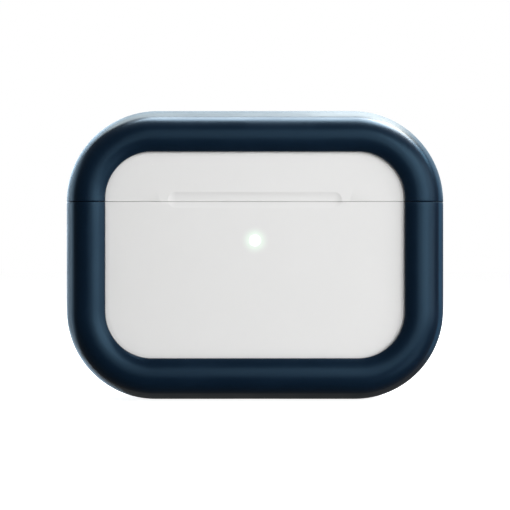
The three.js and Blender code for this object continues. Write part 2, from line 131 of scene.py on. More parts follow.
def add_floor():
    """White paper that the case stands on. It can't be seen from below, so the underside shows."""
    level = low.z - 5e-5
    bpy.ops.mesh.primitive_circle_add(vertices=96, radius=3, fill_type="NGON", location=(0, 0, level))
    floor = bpy.context.object
    floor.name = "floor"
    floor.visible_diffuse = False
    floor.visible_glossy = False
    paper = bpy.data.materials.new("floor_paper")
    paper.use_nodes = True
    tree = paper.node_tree
    shader = tree.nodes["Principled BSDF"]
    shader.inputs["Base Color"].default_value = (0.9, 0.9, 0.9, 1)
    shader.inputs["Roughness"].default_value = 0.9
    shader.inputs["Emission Color"].default_value = (1, 1, 1, 1)
    shader.inputs["Emission Strength"].default_value = 0.9
    below = node(tree, "ShaderNodeNewGeometry").outputs["Backfacing"]
    clear = node(tree, "ShaderNodeBsdfTransparent").outputs[0]
    seen = node(tree, "ShaderNodeMixShader", {0: below, 1: shader.outputs[0], 2: clear})
    tree.links.new(seen.outputs[0], tree.nodes["Material Output"].inputs["Surface"])
    floor.data.materials.append(paper)


add_camera()
white_surroundings(0.104)
soft_box("key_left_box", 8, 10, 0.62, (0.30, 0.42), 0.72)
soft_box("key_middle_box", 30, 12, 0.60, (0.34, 0.42), 1.55)
soft_box("key_right_box", 52, 12, 0.60, (0.34, 0.42), 1.1)
soft_box("side_box", 76, 10, 0.60, (0.30, 0.42), 0.66)
soft_box("low_card", 45, -28, 0.60, (0.40, 0.28), 0.40)
soft_box("top_box", 150, 75, 0.60, (0.50, 0.32), 2.4, (0.93, 0.98, 1.0))
soft_box("top_reflector", 150, 75, 0.64, (0.53, 0.34), 6.6, (0.89, 0.96, 1.0), lights_up=False)
soft_box("high_rear_reflector", 135, 53, 0.60, (0.30, 0.29), 5.4, (1.0, 0.97, 0.95), lights_up=False)
soft_box("right_rear_reflector", 120, 35, 0.60, (0.25, 0.25), 0.80, (0.38, 0.74, 1.0), lights_up=False)
soft_box("corner_reflector", 148, 38, 0.60, (0.20, 0.16), 0.45, (1.0, 0.86, 0.62), lights_up=False)
soft_box("rear_right_reflector", 170, 30, 0.62, (0.16, 0.30), 0.24, (0.95, 1.0, 1.0), lights_up=False)
soft_box("rear_box", 180, 38, 0.60, (0.50, 0.30), 1.25, (0.85, 0.96, 0.99))
soft_box("back_card", 180, 13, 0.60, (0.50, 0.22), 0.50, (0.54, 0.80, 1.0))
soft_box("left_card", 238, 4, 0.60, (0.30, 0.40), 0.44, (0.52, 0.78, 1.0))
soft_box("left_rear_card", 217, 2, 0.60, (0.14, 0.40), 0.18, (0.50, 0.76, 1.0))
soft_box("left_strip", 195, 0, 0.60, (0.12, 0.36), 0.50, (0.60, 0.80, 1.0), lights_up=False)
soft_box("right_rear_card", 148, 2, 0.60, (0.14, 0.40), 0.09, (0.0, 0.45, 1.0))
add_floor()

# ------------------------------------------------------------------ bumper
# The two halves of the outer ring, moulded in satin navy elastomer. The lower one is a tight push
# fit round the base, and the upper one is held on the lid by an adhesive strip.
MM = 0.001
MIDDLE_Z = middle.z / MM
LEFT_TO_RIGHT = (("left", -1), ("right", 1))


def extent(name):
    """A CAD node's lowest and highest corners, in millimetres."""
    return [np.array(corner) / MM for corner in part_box(name)]


def solid(name, points, faces):
    """A mesh object from points in millimetres, with doubles merged and faces turned outwards."""
    mesh = bpy.data.meshes.new(name)
    mesh.from_pydata([tuple(MM * value for value in point) for point in points], [], faces)
    work = bmesh.new()
    work.from_mesh(mesh)
    bmesh.ops.remove_doubles(work, verts=work.verts, dist=1e-7)
    bmesh.ops.recalc_face_normals(work, faces=work.faces)
    work.to_mesh(mesh)
    work.free()
    made = bpy.data.objects.new(name, mesh)
    scene.collection.objects.link(made)
    return made


def settle(piece):
    """Its modifiers made part of its mesh."""
    graph = bpy.context.evaluated_depsgraph_get()
    finished = bpy.data.meshes.new_from_object(piece.evaluated_get(graph), depsgraph=graph)
    piece.modifiers.clear()
    piece.data = finished
    return piece


def carve(piece, *tools, operation="DIFFERENCE"):
    """Cuts tools out of a piece, or joins them to it, and removes them."""
    for tool in tools:
        step = piece.modifiers.new("carve", "BOOLEAN")
        step.operation = operation
        step.solver = "EXACT"
        step.object = tool
    settle(piece)
    for tool in tools:
        bpy.data.objects.remove(tool)
    return piece


def soften(piece, width=0, segments=3):
    """Rounds its sharp edges by a width in millimetres, and keeps its flats flat in the light."""
    if width:
        step = piece.modifiers.new("soften", "BEVEL")
        step.width = width * MM
        step.segments = segments
        step.limit_method = "ANGLE"
        step.angle_limit = math.radians(35)
        step.use_clamp_overlap = True
        step.miter_outer = "MITER_ARC"
        settle(piece)
    piece.data.shade_smooth()
    piece.data.set_sharp_from_angle(angle=math.radians(40))
    even = piece.modifiers.new("even", "WEIGHTED_NORMAL")
    even.keep_sharp = True
    even.weight = 60
    return settle(piece)


def put_in_place(piece, body, slot, material, *nodes):
    """Paints a piece and hands it to its body, in the place of the nodes that it stands for."""
    piece.data.materials.clear()
    piece.data.materials.append(material)
    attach(piece, body)
    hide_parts(*nodes)
    return piece


def rounded_rectangle(half_x, half_y, radius, steps=12):
    """Its outline as points. Each corner's arc starts and ends half a step inside it."""
    points = []
    for quarter in range(4):
        centre_x = (half_x - radius) * (1 if quarter in (0, 3) else -1)
        centre_y = (half_y - radius) * (1 if quarter < 2 else -1)
        for step in range(steps):
            angle = (quarter + (step + 0.5) / steps) * math.pi / 2
            points.append((centre_x + radius * math.cos(angle), centre_y + radius * math.sin(angle)))
    return points


def slot_outline(half_x, half_y):
    """The outline of a slot whose ends are round."""
    return rounded_rectangle(half_x, half_y, half_y - 1e-3, 16)


def stack(name, rings):
    """A closed solid through rings of equally many points, with a flat face at each end."""
    count = len(rings[0])
    faces = [tuple(range(count)), tuple(range((len(rings) - 1) * count, len(rings) * count))]
    for ring in range(len(rings) - 1):
        for i in range(count):
            j = (i + 1) % count
            a, b = ring * count, (ring + 1) * count
            faces.append((a + i, a + j, b + j, b + i))
    return solid(name, [point for ring in rings for point in ring], faces)


CASE_LOW, CASE_HIGH = extent("base_shell")[0], extent("lid_shell")[1]
CASE_HALF_X, CASE_HALF_Y = CASE_HIGH[0], -CASE_LOW[1]
CASE_HALF_Z = (CASE_HIGH[2] - CASE_LOW[2]) / 2
CASE_CORNER, CASE_EDGE = 13.4, 5.5
BUMPER_HALF_X, BUMPER_CREST = extent("bumper_base")[1][:2]
BUMPER_WALL = BUMPER_HALF_X - CASE_HALF_X
BUMPER_CORNER, CORNER_PINCH = {1: 15.9, -1: 15.45}, {1: 1.086, -1: 1.025}
SEAM_Z = (extent("bumper_base")[1][2] + extent("bumper_lid")[0][2]) / 2
BUMPER_GAP = 0.04  # on each side of the seam
LIP_REACH = 0.08
HINGE = np.array(next(j for j in frame["joints"] if j["name"] == "lid_hinge")["pos_m"]) / MM


def corner_arc(before, corner, after, radius, steps=5):
    """The points that round one corner of a section."""
    before, corner, after = np.array(before), np.array(corner), np.array(after)
    back = (before - corner) / np.linalg.norm(before - corner)
    on = (after - corner) / np.linalg.norm(after - corner)
    half = math.acos(np.clip(np.dot(back, on), -1, 1)) / 2
    bisector = (back + on) / np.linalg.norm(back + on)
    centre = corner + bisector * radius / math.sin(half)
    start = corner + back * radius / math.tan(half) - centre
    end = corner + on * radius / math.tan(half) - centre
    blend = [(1 - t) * start + t * end for t in np.linspace(0, 1, steps)]
    return [tuple(centre + radius * arm / np.linalg.norm(arm)) for arm in blend]


def bumper_section():
    """The ring's closed section: how far in from the outline, and how far back from the middle."""
    foot, nose, crest, window, fit = 0.8, 3.35, 4.7, 7.3, 0.1
    top_flat, lip_round, seat_round = 0.1, 0.45, 0.2
    shoulder = math.radians(74)
    notch = math.acos((HINGE[1] - BUMPER_CREST + nose) / nose)
    nose_y = BUMPER_CREST - nose
    side_end = np.array([crest - top_flat - nose * math.sin(shoulder), -nose_y - nose * math.cos(shoulder)])
    bend = np.array([0, side_end[1] + side_end[0] * math.tan(shoulder)])
    front = [(0, 0), (0, -foot / 2)]
    for t in np.linspace(0, 1, 12, endpoint=False):
        point = (1 - t) ** 2 * np.array([0, -foot]) + 2 * t * (1 - t) * bend + t * t * side_end
        front.append(tuple(point))
    for angle in sorted([*np.linspace(0, shoulder, 18), notch], reverse=True):
        front.append((crest - top_flat - nose * math.sin(angle), -nose_y - nose * math.cos(angle)))
    lip = math.asin((window - crest - top_flat) / nose)
    for angle in np.linspace(0, lip, 13)[:-1]:
        front.append((crest + top_flat + nose * math.sin(angle), -nose_y - nose * math.cos(angle)))
    lip_top = (window, -nose_y - nose * math.cos(lip))
    edge, edge_inset = CASE_EDGE + fit, CASE_EDGE + BUMPER_WALL
    seat = math.asin((edge_inset - window) / edge)
    seat_y = -(CASE_HALF_Y - CASE_EDGE) - edge * math.cos(seat)
    under = [
        (edge_inset - edge * math.sin(angle), -(CASE_HALF_Y - CASE_EDGE) - edge * math.cos(angle))
        for angle in np.linspace(seat, math.pi / 2, 20)[1:]
    ]
    front += corner_arc(front[-1], lip_top, (window, seat_y), lip_round)
    front.append((window, -HINGE[1]))
    front += corner_arc(lip_top, (window, seat_y), under[0], seat_round)
    front += under[1:]
    front.append((BUMPER_WALL - fit, 0))
    back = [(inset, -y) for inset, y in reversed(front[1:-1])]
    return np.array(front + back)


def bumper_half(name, direction, end):
    """One half of the ring, which runs from its left end round to its right end.

    Distances along it are taken from the middle of the case, upwards for the lid's half and
    downwards for the base's. Its ends are rounded over, and at the back they slope away from the
    hinge line, so that the halves pass each other as the lid swings down. The lip reaches a little
    further over the face at the top and bottom than at the sides."""
    section = bumper_section()
    ahead, behind = np.roll(section, -1, axis=0), np.roll(section, 1, axis=0)
    along = (ahead - behind) / np.linalg.norm(ahead - behind, axis=1)[:, None]
    outward = np.stack([along[:, 1], -along[:, 0]], axis=1)
    if outward[0][0] > 0:
        outward = -outward
    slope = math.tan(math.radians(51))
    rounding = 0.1
    stations = 56

    def ring(distance_in, rise, fraction):
        inset, y = (section - distance_in * outward).T
        reach = inset + LIP_REACH * np.maximum(0, inset - BUMPER_WALL - 2.2)
        radius = BUMPER_CORNER[direction] - CORNER_PINCH[direction] * inset
        centre_x = BUMPER_HALF_X - inset - radius
        centre_z = MIDDLE_Z - reach - radius
        start = direction * (end - MIDDLE_Z) + slope * np.maximum(0, y - HINGE[1]) + rise
        begun = np.arcsin(np.clip((start - centre_z) / radius, 0, 1))
        column = np.maximum(0, centre_z - start)
        travelled = fraction * (column + radius * (math.pi / 2 - begun))
        angle = begun + np.maximum(0, travelled - column) / radius
        x = centre_x + radius * np.cos(angle)
        z = np.where(travelled < column, start + travelled, centre_z + radius * np.sin(angle))
        return x, y, z

    rings = []
    for turn in np.linspace(0, math.pi / 2, 6):
        rings.append(ring(rounding * (1 - math.sin(turn)), rounding * (1 - math.cos(turn)), 0))
    for step in range(1, stations + 1):
        rings.append(ring(0, rounding, step / stations))
    left = [[(-px, py, MIDDLE_Z + direction * pz) for px, py, pz in zip(*one)] for one in rings]
    right = [[(-px, py, pz) for px, py, pz in one] for one in reversed(left)]
    whole = left + right
    count = len(section)
    faces = []
    for r in range(len(whole) - 1):
        for i in range(count):
            j = (i + 1) % count
            faces.append((r * count + i, r * count + j, (r + 1) * count + j, (r + 1) * count + i))
    behind_hinge = np.flatnonzero(section[:, 1] > HINGE[1] - 1e-6)
    sloping = [int(i) for i in behind_hinge]
    level = [i for i in range(count) if i <= sloping[0] or i >= sloping[-1]]
    last = (len(whole) - 1) * count
    for cap in (sloping, level):
        faces.append(tuple(cap))
        faces.append(tuple(last + i for i in cap))
    return solid(name, [point for one in whole for point in one], faces)


def flared_slot(name, half_x, half_y, bottom, top, flare):
    """A slot with round ends, its lower rim opening out in a quarter round."""
    rings = []
    for turn in np.linspace(0, math.pi / 2, 6):
        out = flare * (1 - math.sin(turn))
        level = bottom + flare * (1 - math.cos(turn))
        outline = slot_outline(half_x + out, half_y + out)
        if not rings:
            rings.append([(x, y, bottom - 1) for x, y in outline])
        rings.append([(x, y, level) for x, y in outline])
    rings.append([(x, y, top) for x, y in slot_outline(half_x, half_y)])
    return stack(name, rings)


def own_place(tree):
    """Where a point lies on its piece."""
    return node(tree, "ShaderNodeTexCoord").outputs["Object"]


def combined(tree, operation, first, second):
    return node(tree, "ShaderNodeMath", {0: first, 1: second}, operation=operation).outputs[0]


def noise(tree, place, scale, detail, **inputs):
    inputs = {"Vector": place, "Scale": scale, "Detail": detail, **inputs}
    return node(tree, "ShaderNodeTexNoise", inputs).outputs[0]


def between(tree, mask, low_value, high_value, start=0.0, end=1.0, kind="LINEAR"):
    """A value that runs from one number to another as a mask goes from start to end."""
    inputs = {"Value": mask, "From Min": start, "From Max": end, "To Min": low_value, "To Max": high_value}
    return node(tree, "ShaderNodeMapRange", inputs, interpolation_type=kind).outputs[0]


def shader_group(name, inputs, outputs):
    """An empty node group with its named sockets, and its input and output nodes."""
    group = bpy.data.node_groups.new(name, "ShaderNodeTree")
    for label, value in inputs.items():
        socket = group.interface.new_socket(label, in_out="INPUT", socket_type="NodeSocketFloat")
        socket.default_value = value
    for label in outputs:
        group.interface.new_socket(label, in_out="OUTPUT", socket_type="NodeSocketFloat")
    return group, group.nodes.new("NodeGroupInput"), group.nodes.new("NodeGroupOutput")


def moulded_grain():
    """The fine texture that a blasted mould leaves, with slower waves in it. Puts out a height."""
    sizes = {"Grain Size": 0.2, "Wave": 0.3}
    group, given, made = shader_group("moulded_grain", sizes, ["Height"])
    place = own_place(group)
    pitch = combined(group, "DIVIDE", 1 / MM, given.outputs["Grain Size"])
    grain = noise(group, place, pitch, 2.0, Roughness=0.6)
    waves = combined(group, "MULTIPLY", noise(group, place, 180.0, 1.0), given.outputs["Wave"])
    group.links.new(combined(group, "ADD", grain, waves), made.inputs["Height"])
    return group


def handling_marks():
    """Where hands have polished or dulled a surface: a mask of soft patches and thin rubs."""
    sizes = {"Patch Size": 9.0, "Rub Size": 1.2}
    group, given, made = shader_group("handling_marks", sizes, ["Patches", "Rubs"])
    place = own_place(group)
    patch_pitch = combined(group, "DIVIDE", 1 / MM, given.outputs["Patch Size"])
    patches = noise(group, place, patch_pitch, 3.0)
    soft = between(group, patches, 0.0, 1.0, 0.35, 0.7, "SMOOTHSTEP")
    rub_pitch = combined(group, "DIVIDE", 1 / MM, given.outputs["Rub Size"])
    drag = {"Vector": place, "Rotation": (0.3, 0.5, 0.7), "Scale": (1.0, 0.08, 1.0)}
    rubs = noise(group, node(group, "ShaderNodeMapping", drag).outputs[0], rub_pitch, 4.0)
    group.links.new(soft, made.inputs["Patches"])
    group.links.new(between(group, rubs, 0.0, 1.0, 0.62, 0.72), made.inputs["Rubs"])
    return group


GRAIN = moulded_grain()
MARKS = handling_marks()


def start_material(name, **values):
    """A material with its Principled shader's own sockets set. Returns it, its tree and shader."""
    material = bpy.data.materials.new(name)
    material.use_nodes = True
    shader = material.node_tree.nodes["Principled BSDF"]
    for label, value in values.items():
        socket = shader.inputs[label.replace("_", " ")]
        socket.default_value = (*value, 1) if isinstance(value, tuple) else value
    return material, material.node_tree, shader


def use_group(tree, group, **values):
    made = node(tree, "ShaderNodeGroup", node_tree=group)
    for label, value in values.items():
        made.inputs[label.replace("_", " ")].default_value = value
    return made


def tints(tree, factor, first, second):
    """A colour that runs from one to another as a mask goes from 0 to 1."""
    inputs = {"Factor": factor, 6: (*first, 1), 7: (*second, 1)}
    return node(tree, "ShaderNodeMix", inputs, data_type="RGBA").outputs[2]


def raise_surface(tree, shader, height, depth, strength):
    inputs = {"Height": height, "Distance": depth * MM, "Strength": strength}
    tree.links.new(node(tree, "ShaderNodeBump", inputs).outputs[0], shader.inputs["Normal"])


def make_patchy(tree, shader, size, rough, colors=None):
    """Lets the roughness, and the colour where two are given, change in soft patches."""
    patches = use_group(tree, MARKS, Patch_Size=size).outputs["Patches"]
    tree.links.new(between(tree, patches, *rough), shader.inputs["Roughness"])
    if colors:
        tree.links.new(tints(tree, patches, *colors), shader.inputs["Base Color"])


def add_grain(tree, shader, size, wave, depth, strength):
    grain = use_group(tree, GRAIN, Grain_Size=size, Wave=wave)
    raise_surface(tree, shader, grain.outputs["Height"], depth, strength)


def grained(name, patch_size, rough, colors, **grain):
    """A patchy material with the fine grain of its mould."""
    material, tree, shader = start_material(name)
    make_patchy(tree, shader, patch_size, rough, colors)
    add_grain(tree, shader, **grain)
    return material


def navy_elastomer():
    colors = (0.0032, 0.0108, 0.0255), (0.0037, 0.0122, 0.0285)
    material, tree, shader = start_material("navy_elastomer", Specular_Tint=(0.38, 0.71, 1.0), IOR=1.38)
    make_patchy(tree, shader, 7.0, (0.31, 0.37), colors)
    add_grain(tree, shader, size=0.16, wave=0.25, depth=0.006, strength=0.5)
    return material


NAVY = navy_elastomer()
bumper_base = bumper_half("bumper_base_ring", -1, SEAM_Z - BUMPER_GAP)
carve(bumper_base, flared_slot("port_cutout", half_x=6.4, half_y=3.3, bottom=0, top=4, flare=0.5))
soften(bumper_base)
put_in_place(bumper_base, "base", "navy_bumper", NAVY, "bumper_base")
bumper_lid = soften(bumper_half("bumper_lid_ring", 1, SEAM_Z + BUMPER_GAP))
put_in_place(bumper_lid, "lid", "navy_bumper", NAVY, "bumper_lid")

# ------------------------------------------------------------------ case shells
# The base and the lid of the case, injection moulded in glossy white plastic with walls of about
# 1.45 mm. They close on a hairline seam, and a shallow scoop for the thumb crosses it.
WALL = 1.45
FACE_Y = CASE_LOW[1]
LIGHT_LOW, LIGHT_HIGH = extent("led_light_pipe")
LIGHT_Z = (LIGHT_LOW[2] + LIGHT_HIGH[2]) / 2
LIGHT_RADIUS = 0.95
SHELL_GAP = 0.03  # on each side of the seam
BUTTON_LOW, BUTTON_HIGH = extent("setup_button")
BUTTON_Z = (BUTTON_LOW[2] + BUTTON_HIGH[2]) / 2
BUTTON_PLACE = (0, 0, BUTTON_Z)
BUTTON_RADIUS = 2.9
PORT_HIGH = extent("usb_port_shell")[1]
LEAF_LOW = extent("hinge_leaf_base")[0]
LEAF_HIGH = extent("hinge_leaf_lid")[1]


def case_form(name, offset):
    """The case's own rounded form, grown outwards by an offset."""
    edge = CASE_EDGE + offset
    quarter = [
        (-(CASE_HALF_Y - CASE_EDGE) - edge * math.cos(turn), edge * (1 - math.sin(turn)))
        for turn in np.linspace(0, math.pi / 2, 22)
    ]
    flat = [(quarter[0][0], inset) for inset in (22.0, 18.0, 14.0, 10.5, 8.0)]
    half = flat + quarter
    stations = half + [(-y, inset) for y, inset in reversed(half)]
    rings = []
    for y, inset in stations:
        corner = max(CASE_CORNER + offset - inset, 0.4)
        grow = offset - inset
        outline = rounded_rectangle(CASE_HALF_X + grow, CASE_HALF_Z + grow, corner, 22)
        rings.append([(x, y, MIDDLE_Z + z) for x, z in outline])
    return stack(name, rings)


def box(name, low_corner, high_corner):
    outline = ((0, 0), (1, 0), (1, 1), (0, 1))
    size = np.array(high_corner) - np.array(low_corner)
    rings = [[tuple(np.array(low_corner) + size * (x, y, z)) for x, y in outline] for z in (0, 1)]
    return stack(name, rings)


def turned(name, profile, axis, place, steps=48):
    """A solid of revolution. The profile gives (along, radius) pairs, from one end to the other, and
    place is the point on its axis from which they are measured."""
    rings = []
    for along, radius in profile:
        ring = []
        for step in range(steps):
            angle = 2 * math.pi * step / steps
            c, s = radius * math.cos(angle), radius * math.sin(angle)
            offset = {"x": (along, c, s), "y": (c, along, s), "z": (c, s, along)}[axis]
            ring.append(tuple(np.array(place) + offset))
        rings.append(ring)
    return stack(name, rings)


def rod(name, start, end, radius, axis, place, steps=48):
    return turned(name, [(start, radius), (end, radius)], axis, place, steps)


def thumb_scoop():
    """The cutter for the scoop, a shallow dish with round ends."""
    half_length, half_height, depth, centre_z = 14.9, 1.4, 0.13, SEAM_Z + 0.3
    rings = []
    for out in np.linspace(0.05, 1, 12):
        reach = half_height * out
        outline = slot_outline(half_length - half_height + reach, reach)
        y = FACE_Y + depth * (1 - out**2)
        rings.append([(x, y, centre_z + z) for x, z in outline])
    rings.append([(x, FACE_Y - 1, z) for x, y, z in rings[-1]])
    return stack("scoop", rings)


def hinge_room():
    """What is cut away for the hinge: a recess for its leaves, and a trough for its barrel."""
    half_length, play = LEAF_HIGH[0], 0.12
    recess_low = (-half_length - play, LEAF_LOW[1] + 0.4, LEAF_LOW[2] - play)
    recess_high = (half_length + play, CASE_HALF_Y + 2, LEAF_HIGH[2] + play)
    end = half_length + 0.2
    trough = rod("barrel_trough", -end, end, 1.72, "x", (0, HINGE[1], HINGE[2]))
    return box("leaf_recess", recess_low, recess_high), trough


def shell_half(name, keep_above):
    far = 60
    shell = carve(case_form(name, 0), case_form("hollow", -WALL))
    if keep_above:
        carve(shell, box("below_seam", (-far, -far, -far), (far, far, SEAM_Z + SHELL_GAP)))
    else:
        carve(shell, box("above_seam", (-far, -far, SEAM_Z - SHELL_GAP), (far, far, far)))
    return carve(shell, thumb_scoop(), *hinge_room())


def from_light(tree):
    """How far a point is from the middle of the status light."""
    inputs = {0: own_place(tree), 1: (0, FACE_Y * MM, LIGHT_Z * MM)}
    return node(tree, "ShaderNodeVectorMath", inputs, operation="DISTANCE").outputs["Value"]


def gloss_white():
    """Polished white plastic, with faint mould waves and rubs, and the light's glow inside it."""
    material, tree, shader = start_material("gloss_white", IOR=1.49)
    marks = use_group(tree, MARKS, Patch_Size=11.0, Rub_Size=0.5)
    color = tints(tree, marks.outputs["Patches"], (0.865, 0.865, 0.86), (0.875, 0.875, 0.87))
    tree.links.new(color, shader.inputs["Base Color"])
    patchy = between(tree, marks.outputs["Patches"], 0.13, 0.2)
    rubbed = combined(tree, "MULTIPLY", marks.outputs["Rubs"], 0.08)
    tree.links.new(combined(tree, "ADD", patchy, rubbed), shader.inputs["Roughness"])
    near = between(tree, from_light(tree), 1.0, 0.0, 0.8 * MM, 2.7 * MM)
    glow = tints(tree, combined(tree, "POWER", near, 2.0), (0, 0, 0), (0.16, 0.30, 0.19))
    tree.links.new(glow, shader.inputs["Emission Color"])
    shader.inputs["Emission Strength"].default_value = 1.0
    add_grain(tree, shader, size=1.1, wave=1.5, depth=0.003, strength=0.35)
    return material


WHITE = gloss_white()
base_shell = shell_half("base_shell_moulding", keep_above=False)
button_hole = rod("button_hole", 5, 14, BUTTON_RADIUS + 0.09, "y", BUTTON_PLACE, 64)
light_hole = rod("light_hole", -14, -8, LIGHT_RADIUS + 0.02, "y", (0, 0, LIGHT_Z))
port_mouth = slot_outline(PORT_HIGH[0] + 0.12, PORT_HIGH[1] + 0.12)
port_hole = stack("port_hole", [[(x, y, z) for x, y in port_mouth] for z in (1, 5)])
carve(base_shell, button_hole, light_hole, port_hole)
soften(base_shell, 0.06)
put_in_place(base_shell, "base", "white_shell", WHITE, "base_shell")
lid_shell = soften(shell_half("lid_shell_moulding", keep_above=True), 0.06)
put_in_place(lid_shell, "lid", "white_shell", WHITE, "lid_shell")

# ------------------------------------------------------------------ status light
# A clear moulded pipe pressed in from behind and polished flush with the face. The light is on,
# white at its middle and green at its rim. Its diode and board are made with the other boards.
def lit_lens():
    material, tree, shader = start_material("lit_lens", Base_Color=(0.9, 0.95, 0.9))
    rim = between(tree, from_light(tree), 0.0, 1.0, 0.6 * MM, 1.0 * MM, "SMOOTHSTEP")
    tree.links.new(tints(tree, rim, (1.3, 1.3, 1.3), (0.55, 0.85, 0.6)), shader.inputs["Emission Color"])
    shader.inputs["Emission Strength"].default_value = 1.0
    make_patchy(tree, shader, 0.8, (0.1, 0.2))
    add_grain(tree, shader, size=0.1, wave=0.5, depth=0.004, strength=0.4)
    return material


pipe_front, pipe_back, flange = LIGHT_LOW[1], LIGHT_HIGH[1], LIGHT_RADIUS + 0.55
pipe_profile = [
    (pipe_front + 0.01, LIGHT_RADIUS - 0.12), (pipe_front + 0.04, LIGHT_RADIUS - 0.04),
    (pipe_front + 0.12, LIGHT_RADIUS), (pipe_back - 0.35, LIGHT_RADIUS),
    (pipe_back - 0.33, flange), (pipe_back, flange),
]
pipe = turned("light_pipe_lens", pipe_profile, "y", (0, 0, LIGHT_Z))
soften(pipe)
LENS = lit_lens()
put_in_place(pipe, "base", "light_pipe", LENS, "led_light_pipe")

# ------------------------------------------------------------------ hinge
# Two stamped stainless leaves with rolled knuckles on one pin. Two torsion springs wound round the
# pin snap the lid open, and four socket screws reach the leaves from inside the shells.
def metal(name, color, rough, stretch, depth=0.004):
    """Bare or plated metal. Its grain is drawn out along the axis whose stretch is smallest."""
    material, tree, shader = start_material(name, Metallic=1.0)
    marks = use_group(tree, MARKS, Patch_Size=3.0, Rub_Size=0.4)
    drawn = node(tree, "ShaderNodeMapping", {"Vector": own_place(tree), "Scale": stretch})
    grain = noise(tree, drawn.outputs[0], 9000.0, 2.0)
    patchy = between(tree, marks.outputs["Patches"], rough, rough + 0.05)
    total = combined(tree, "ADD", patchy, combined(tree, "MULTIPLY", grain, 0.12))
    tree.links.new(total, shader.inputs["Roughness"])
    worn = tuple(0.82 * value for value in color)
    tree.links.new(tints(tree, marks.outputs["Rubs"], color, worn), shader.inputs["Base Color"])
    raise_surface(tree, shader, grain, depth, 0.4)
    return material


def shape_by_nodes(name, build, material, **values):
    """One plain mesh from a node tree with named inputs, which build fills in millimetres."""
    tree = bpy.data.node_groups.new(name, "GeometryNodeTree")
    tree.interface.new_socket("Geometry", in_out="OUTPUT", socket_type="NodeSocketGeometry")
    sockets = {}
    for label, value in values.items():
        kind = "NodeSocketInt" if isinstance(value, int) else "NodeSocketFloat"
        words = label.replace("_", " ").capitalize()
        sockets[words] = tree.interface.new_socket(words, in_out="INPUT", socket_type=kind)
    given = tree.nodes.new("NodeGroupInput")
    shape = build(tree, given.outputs)
    whole = node(tree, "GeometryNodeRealizeInstances", {"Geometry": shape})
    to_metres = {"Geometry": whole.outputs[0], "Scale": (MM, MM, MM)}
    finish = {"Geometry": node(tree, "GeometryNodeTransform", to_metres).outputs[0], "Material": material}
    painted = node(tree, "GeometryNodeSetMaterial", finish)
    out = tree.nodes.new("NodeGroupOutput")
    tree.links.new(painted.outputs[0], out.inputs[0])
    piece = bpy.data.objects.new(name, bpy.data.meshes.new(name))
    scene.collection.objects.link(piece)
    step = piece.modifiers.new("build", "NODES")
    step.node_group = tree
    for (words, socket), value in zip(sockets.items(), values.values()):
        step[socket.identifier] = value
    return soften(settle(piece))


def spiral_wire(tree, given):
    """A wire of round section wound along +X, or in one plane when its length is nothing."""
    radii = {"Start Radius": given["Inner radius"], "End Radius": given["Outer radius"]}
    turns = {"Resolution": given["Steps per turn"], "Rotations": given["Turns"]}
    path = node(tree, "GeometryNodeCurveSpiral", {**turns, **radii, "Height": given["Length"]})
    round_section = {"Resolution": 10, "Radius": given["Wire radius"]}
    section = node(tree, "GeometryNodeCurvePrimitiveCircle", round_section)
    sweep = {"Curve": path.outputs[0], "Profile Curve": section.outputs[0], "Fill Caps": True}
    return node(tree, "GeometryNodeCurveToMesh", sweep).outputs[0]


def moved(piece, turn_axis, degrees, place):
    """Turns a mesh about an axis and takes it to its place in millimetres, within the mesh."""
    turn = Matrix.Rotation(math.radians(degrees), 4, turn_axis)
    piece.data.transform(Matrix.Translation(Vector(place) * MM) @ turn)
    return piece


def barrel(name, start, end, radius, edge=0.0):
    """A round bar on the hinge line."""
    profile = [(start, radius - edge), (start + edge, radius), (end - edge, radius), (end, radius - edge)]
    return turned(name, profile, "x", (0, HINGE[1], HINGE[2]))


def slab(name, low_corner, high_corner, axis, corner, edge, steps=4):
    """A flat piece across an axis, with rounded corners, and its edges rounded over."""
    low_corner, high_corner = np.array(low_corner, float), np.array(high_corner, float)
    centre, half = (low_corner + high_corner) / 2, (high_corner - low_corner) / 2
    thick = "xyz".index(axis)
    one, other = (i for i in range(3) if i != thick)
    rings = []
    for side, turns in ((-1, np.linspace(0, 1, steps)), (1, np.linspace(1, 0, steps))):
        for turn in turns * math.pi / 2:
            inset = edge * (1 - math.sin(turn))
            level = side * (half[thick] - edge * (1 - math.cos(turn)))
            outline = rounded_rectangle(half[one] - inset, half[other] - inset, corner - inset, 8)
            ring = np.zeros((len(outline), 3))
            ring[:, thick] = level
            ring[:, [one, other]] = outline
            rings.append([tuple(point) for point in centre + ring])
    return stack(name, rings)


def flat_part(name, stands_for, axis, corner, edge, body, slot, material, steps=4):
    """A slab as large as the node that it stands for."""
    part = soften(slab(name, *extent(stands_for), axis, corner, edge, steps))
    return put_in_place(part, body, slot, material, stands_for)


def hinge_leaf(name, low_z, high_z, knuckle_spans, relief_spans):
    """A leaf with its rolled knuckles, cut clear of the other leaf's and bored for the pin."""
    front, back = LEAF_LOW[1] + 0.55, CASE_HALF_Y
    leaf = slab(name, (-LEAF_HIGH[0], front, low_z), (LEAF_HIGH[0], back, high_z), "y", 0.6, 0.12)
    carve(leaf, *[barrel("relief", start, end, KNUCKLE_ROOM) for start, end in relief_spans])
    knuckles = [barrel("knuckle", start, end, KNUCKLE_RADIUS, 0.12) for start, end in knuckle_spans]
    carve(leaf, *knuckles, operation="UNION")
    return soften(carve(leaf, barrel("bore", -20, 20, BORE_RADIUS)), 0.05, 2)


